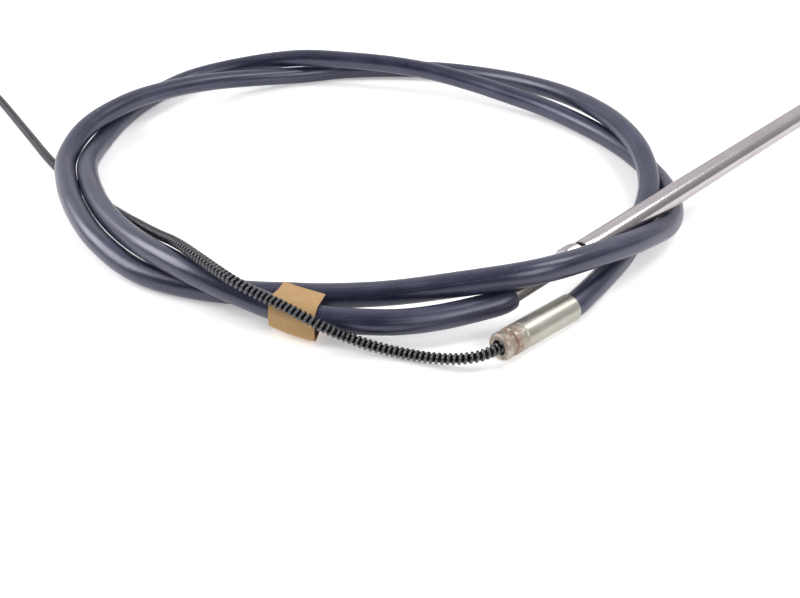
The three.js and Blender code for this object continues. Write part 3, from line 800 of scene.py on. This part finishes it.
from_dimple = ((sleeve_angle * DIMPLES / (2 * np.pi)) % 1.0 - 0.5) * 2 * np.pi / DIMPLES * SLEEVE_RADIUS
on_outside = (sleeve_profile[:, :1] > 8.8)
distance = np.hypot(from_dimple[None, :], sleeve_profile[:, 1:] - DIMPLE_PLACE)
pushed = DIMPLE_DEPTH * np.exp(-(distance / DIMPLE_WIDTH)**2) * on_outside
sleeve_line = rod(SLEEVE_REAR, SLEEVE_DIRECTION, SLEEVE_LENGTH)
sleeve = carried(
    "sleeve_shell", sleeve_line, sleeve_profile[:, 1] * MM, (sleeve_profile[:, :1] - pushed) * MM,
    SLEEVE_COLUMNS, wrap_rings=True)
sleeve.data.materials.append(nickel_finish)

# %% [markdown]
# ## The ferrule on the core's free end
#
# The free end of the core is closed by a small plated cup, so that its wires don't unwind.

# %% Core ferrule
FERRULE_PROFILE = [
    [4.1, 0], [4.7, 0], [4.7, 3.4], [4.45, 4.0], [4.45, 5.6], [4.7, 6.2], [4.7, 15], [2.7, 18],
    [0.02, 18], [0.02, 10], [4.1, 10],
]
tip_direction = core_line[-1] - core_line[-4]
tip_direction /= np.linalg.norm(tip_direction)
ferrule_profile = rounded(FERRULE_PROFILE, 0.3, 4)
ferrule_start = core_line[-1] - 0.0095 * tip_direction
ferrule_line = np.vstack([ferrule_start, ferrule_start + 0.018 * tip_direction])
ferrule = carried(
    "core_ferrule", ferrule_line, ferrule_profile[:, 1] * MM, ferrule_profile[:, 0] * MM, 64,
    wrap_rings=True)
ferrule.data.materials.append(nickel_finish)

# %% [markdown]
# ## The paper tape
#
# Two strands are held together by a strip of brown paper tape. It goes round both strands as
# they really lie, half a circle round each and straight between, with a little sag. Its end on
# top is cut at a slant, so the back strand shows past it at the right, and its other end stops
# behind the back strand. The lower front corner stands off the strand, stiff as paper is. The
# sheet gets its thickness from an outer and an inner surface joined at the edges.

# %% Tape finish
tape_finish, tree, shader, place = new_finish("kraft_paper_tape", (0.47, 0.29, 0.12), 0.66)
fibres = noise_node(tree, stretched(tree, place, 900.0, 260.0, 900.0), 1.0, 4.0, 0.6)
clouds = effect(tree, blotch_group, place, Size=120.0, Edge=1.8)
creases = noise_node(tree, stretched(tree, place, 60.0, 520.0, 60.0), 1.0, 3.0)
paper = mixed(tree, clouds, (0.42, 0.255, 0.104), (0.52, 0.323, 0.137))
fibrous = ranged(tree, fibres, -0.2, 0.7)
tree.links.new(mixed(tree, fibrous, paper, (0.336, 0.198, 0.083)), shader.inputs["Base Color"])
tree.links.new(ranged(tree, fibres, 0.5, 0.72), shader.inputs["Roughness"])
crinkle = math_node(tree, "ADD", math_node(tree, "MULTIPLY", creases, 2.0), fibres)
bumped(tree, shader, crinkle, 0.00012, 0.5)

# %% Tape band
TAPE_MIDDLE = to_frame([-30.2, -201.6, 13.7])
TAPE_ALONG = np.array([0.968, -0.25, 0.0])
TAPE_ALONG = TAPE_ALONG / np.linalg.norm(TAPE_ALONG)
TAPE_HALF_WIDTH = 0.015
TAPE_RADIUS = 0.0093
TAPE_THICK = 0.0003
strand_points = placed(jacket_line, np.linspace(0, jacket_length, 6000))
near = strand_points[np.linalg.norm(strand_points - TAPE_MIDDLE, axis=1) < 0.04]
across_axis = np.cross(TAPE_ALONG, [0, 0, 1.0])
front = near[(near - TAPE_MIDDLE) @ across_axis > 0]
back = near[(near - TAPE_MIDDLE) @ across_axis < 0]
tape_steps = np.linspace(-TAPE_HALF_WIDTH, TAPE_HALF_WIDTH, 25)


def strand_at(points, steps):
    """Where a strand crosses each of the planes square to the tape, by interpolation."""
    run = (points - TAPE_MIDDLE) @ TAPE_ALONG
    order = np.argsort(run)
    return np.stack([np.interp(steps, run[order], points[order, axis]) for axis in range(3)], axis=1)


front_middle = strand_at(front, tape_steps)
back_middle = strand_at(back, tape_steps)
apart = back_middle - front_middle
spacing = np.linalg.norm(apart, axis=1)
towards_back = apart / spacing[:, None]
tape_up = np.cross(TAPE_ALONG, towards_back)
tape_up *= np.sign(tape_up[:, 2:])
print("taped strands are", (spacing / MM).round(1)[[0, 12, 24]], "mm apart")
ARC_STEPS = 40
SPAN_STEPS = 18
TAPE_SAG = 0.0007
BAND_COLUMNS = 110
CUT_SLANT = 0.0105
TAPE_END_SHORT = 0.015
CORNER_AT_LEFT = 0.9
CORNER_ADDED = 0.9
arc = np.linspace(0, np.pi, ARC_STEPS)
span = np.linspace(0, 1, SPAN_STEPS + 2)[1:-1]
from_left = (tape_steps / TAPE_HALF_WIDTH + 1)[:, None] / 2
boxy = (np.abs(np.sin(arc))**8 + np.abs(np.cos(arc))**8) ** (-1 / 8) - 1
corner = 1 + (CORNER_AT_LEFT + CORNER_ADDED * from_left) * boxy[None, :] * (arc > np.pi / 2)


def band(radius):
    """Rings round both strands at that radius. Each starts on top of the back strand, crosses to
    the front with a sag, and goes half round the front strand. The lower front quarter is pushed
    out towards a square by 1 / (|sin|^8 + |cos|^8)^(1/8). It returns below, and half round the
    back strand. Each ring is then resampled from its slanted cut to its end."""
    middle = (front_middle + back_middle) / 2
    half = spacing[:, None] / 2
    top_out = (1 - 2 * span)[None, :] * half
    top_up = np.broadcast_to(radius - TAPE_SAG * np.sin(np.pi * span), top_out.shape)
    front_out = -half - radius * corner * np.sin(arc)
    front_up = radius * corner * np.cos(arc)
    back_out = half + radius * np.sin(arc)
    back_up = np.broadcast_to(-radius * np.cos(arc), back_out.shape)
    out = np.hstack([top_out, front_out, -top_out, back_out])
    up_by = np.hstack([top_up, front_up, np.broadcast_to(-top_up, top_out.shape), back_up])
    rings = (
        middle[:, None, :]
        + out[..., None] * towards_back[:, None, :]
        + up_by[..., None] * tape_up[:, None, :]
    )
    return np.stack([
        placed(ring, np.linspace(CUT_SLANT * share, metres_along(ring)[-1] - TAPE_END_SHORT, BAND_COLUMNS))
        for ring, share in zip(rings, from_left[:, 0])
    ])


outer = band(TAPE_RADIUS + TAPE_THICK)
inner = band(TAPE_RADIUS)
tape_grid = np.concatenate([outer, inner[:, ::-1]], axis=1)
girth = metres_along(outer[12])
both_ways = np.concatenate([girth, girth[::-1]])
tape_place = np.stack([
    np.broadcast_to(tape_steps[:, None], tape_grid.shape[:2]),
    np.broadcast_to(both_ways[None, :], tape_grid.shape[:2]),
    np.zeros(tape_grid.shape[:2]),
], axis=-1)
tape = put_mesh("tape_wrap", tape_grid, tape_place, sharp=50)
tape.data.materials.append(tape_finish)

# %% [markdown]
# ## Which body each piece rides on
#
# The ram tube and its wiper slide out along the guide tube. Everything else stays with the
# cable.

# %% Ride and replace
fixed_pieces = [
    (jacket, "jacket", "jacket_plastic"),
    (core, "core_cable", "core_steel"),
    (ferrule, "core_tip", "nickel_steel"),
    (sleeve, "helm_sleeve", "nickel_steel"),
    (guide, "guide_tube", "stainless_steel"),
    (collar, "hex_collar", "stainless_steel"),
    (tape, "tape_band", "paper_tape"),
]
sliding_pieces = [
    (ram, "ram_tube", "stainless_steel"),
    (wiper, "wiper_seal", "seal_rubber"),
]
for piece, node, slot in fixed_pieces:
    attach(piece, "cable")
    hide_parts(node)
for piece, node, slot in sliding_pieces:
    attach(piece, "ram")
    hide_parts(node)

# %% [markdown]
# ## Floor and light
#
# The photograph is a studio shot on white. A pale floor fills the view, and glows a little, as
# white paper lit from all round does. Soft panels at the left and right light the object and
# stay out of the front strands' reflections. A narrow panel above is the bright line along the
# ram. The room is white behind the object and dark in front of it, which gives every tube its
# pale upper edge and dark lower band. The camera itself sees white wherever the floor ends.

# %% Floor
FLOOR_REACH = 4.0
FLOOR_GREY = 0.9
FLOOR_GLOW = 0.35
corners = FLOOR_REACH * np.array([[-1, -1, 0], [1, -1, 0], [1, 1, 0], [-1, 1, 0]])
floor_mesh = bpy.data.meshes.new("studio_floor")
floor_mesh.from_pydata(corners.tolist(), [], [(0, 1, 2, 3)])
floor = bpy.data.objects.new("studio_floor", floor_mesh)
bpy.context.scene.collection.objects.link(floor)
floor_finish = bpy.data.materials.new("pale_floor")
floor_finish.use_nodes = True
shader = floor_finish.node_tree.nodes["Principled BSDF"]
shader.inputs["Base Color"].default_value = (FLOOR_GREY, FLOOR_GREY, FLOOR_GREY, 1)
shader.inputs["Emission Color"].default_value = (1, 1, 1, 1)
shader.inputs["Emission Strength"].default_value = FLOOR_GLOW
shader.inputs["Roughness"].default_value = 0.9
shader.inputs["Specular IOR Level"].default_value = 0.1
floor_mesh.materials.append(floor_finish)


# %% Lights and room
def soft_panel(name, place, target, width, depth, power):
    """A rectangular lamp at a place, turned to face a target."""
    lamp = bpy.data.lights.new(name, "AREA")
    lamp.shape = "RECTANGLE"
    lamp.size = width
    lamp.size_y = depth
    lamp.energy = power
    made = bpy.data.objects.new(name, lamp)
    made.location = place
    facing = np.array(target, float) - np.array(place, float)
    pitch = math.atan2(math.hypot(facing[0], facing[1]), -facing[2])
    made.rotation_euler = (pitch, 0, math.atan2(-facing[0], facing[1]))
    bpy.context.scene.collection.objects.link(made)
    return made


soft_panel("left_panel", (-1.5, 0.15, 1.0), (0, 0, 0), 1.3, 1.0, 26)
soft_panel("right_panel", (0.95, -1.25, 1.1), (0, 0, 0), 1.0, 0.8, 14)
soft_panel("top_panel", (0.9, 0.13, 1.43), (0.15, -0.05, 0), 0.36, 0.9, 9)

# %% The room
TOWARDS_WHITE = (0.0, 0.8, 0.1)
DARKEST = 0.09
BRIGHTEST = 1.05
room = bpy.data.worlds.new("white_room_dark_in_front")
room.use_nodes = True
tree = room.node_tree
looking = tree.nodes.new("ShaderNodeTexCoord")
towards_white = tree.nodes.new("ShaderNodeVectorMath")
towards_white.operation = "DOT_PRODUCT"
towards_white.inputs[1].default_value = TOWARDS_WHITE
tree.links.new(looking.outputs["Generated"], towards_white.inputs[0])
brighter = tree.nodes.new("ShaderNodeMapRange")
brighter.inputs["From Min"].default_value = -0.3
brighter.inputs["From Max"].default_value = 0.8
brighter.inputs["To Min"].default_value = DARKEST
brighter.inputs["To Max"].default_value = BRIGHTEST
tree.links.new(towards_white.outputs["Value"], brighter.inputs["Value"])
seen = tree.nodes.new("ShaderNodeLightPath")
backdrop = math_node(tree, "MAXIMUM", brighter.outputs[0], seen.outputs["Is Camera Ray"])
tree.links.new(backdrop, tree.nodes["Background"].inputs["Strength"])
tree.nodes["Background"].inputs["Color"].default_value = (0.97, 0.97, 1.0, 1)
bpy.context.scene.world = room
